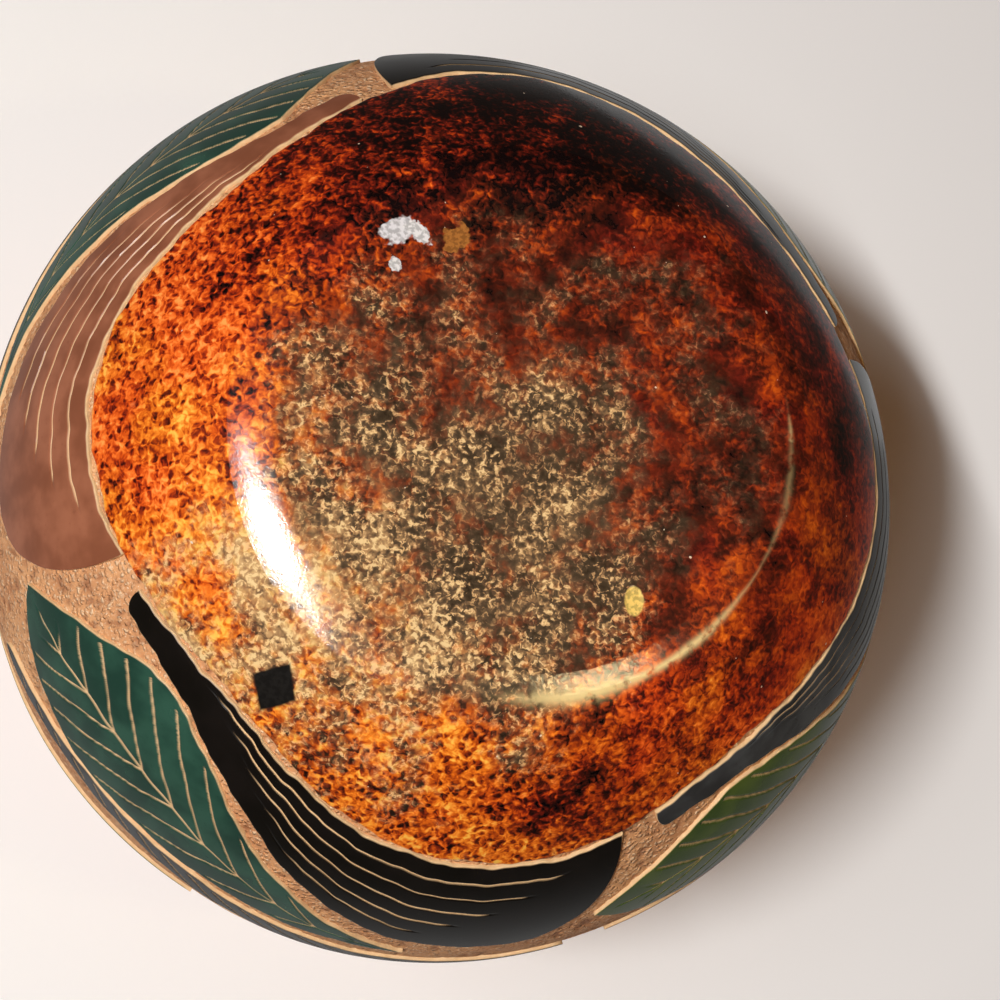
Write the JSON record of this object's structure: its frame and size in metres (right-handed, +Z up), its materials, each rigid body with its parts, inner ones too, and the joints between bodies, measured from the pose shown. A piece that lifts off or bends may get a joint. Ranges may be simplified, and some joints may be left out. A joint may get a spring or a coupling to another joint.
{
  "type": "pottery vase",
  "caption": "Globular burnished pottery vase with a flat base, a carved frieze of coloured slip around the belly and a short flared neck, for holding cut flowers.",
  "frame": {"origin": "centre of the flat base, on the plane that the vase stands on", "axes": "+Z up the vase's axis to its mouth; the frieze's first repeat starts 20 degrees before +X"},
  "size_m": [0.1778, 0.1778, 0.1717],
  "materials": {
    "clay": "bare fired clay, matt and stippled",
    "mottled_slip": "burnished slip, orange mottled with dark brown",
    "black_slip": "burnished slip, black",
    "leaf_green_slip": "burnished slip, leaf green",
    "deep_green_slip": "burnished slip, deep green",
    "grey_slip": "burnished slip, blue grey",
    "terracotta_slip": "burnished slip, pinkish brown"
  },
  "bodies": {
    "root": {"foot_disc": "mottled_slip", "lower_bowl": "clay", "upper_bowl": "clay", "neck_collar": "mottled_slip", "lower_slip_coat": "mottled_slip", "shoulder_slip_coat": "mottled_slip", "wave_1": "grey_slip", "wave_2": "black_slip", "wave_3": "terracotta_slip", "wave_4": "black_slip", "trough_leaf_1": "leaf_green_slip", "trough_leaf_2": "deep_green_slip", "trough_leaf_3": "deep_green_slip", "trough_leaf_4": "leaf_green_slip", "ribbon_1": "terracotta_slip", "ribbon_2": "grey_slip", "ribbon_3": "black_slip", "ribbon_4": "grey_slip", "low_leaf_1": "deep_green_slip", "low_leaf_2": "terracotta_slip", "low_leaf_3": "leaf_green_slip", "low_leaf_4": "terracotta_slip", "high_leaf_1": "black_slip", "high_leaf_2": "leaf_green_slip", "high_leaf_3": "grey_slip", "high_leaf_4": "deep_green_slip"}
  },
  "joints": []
}
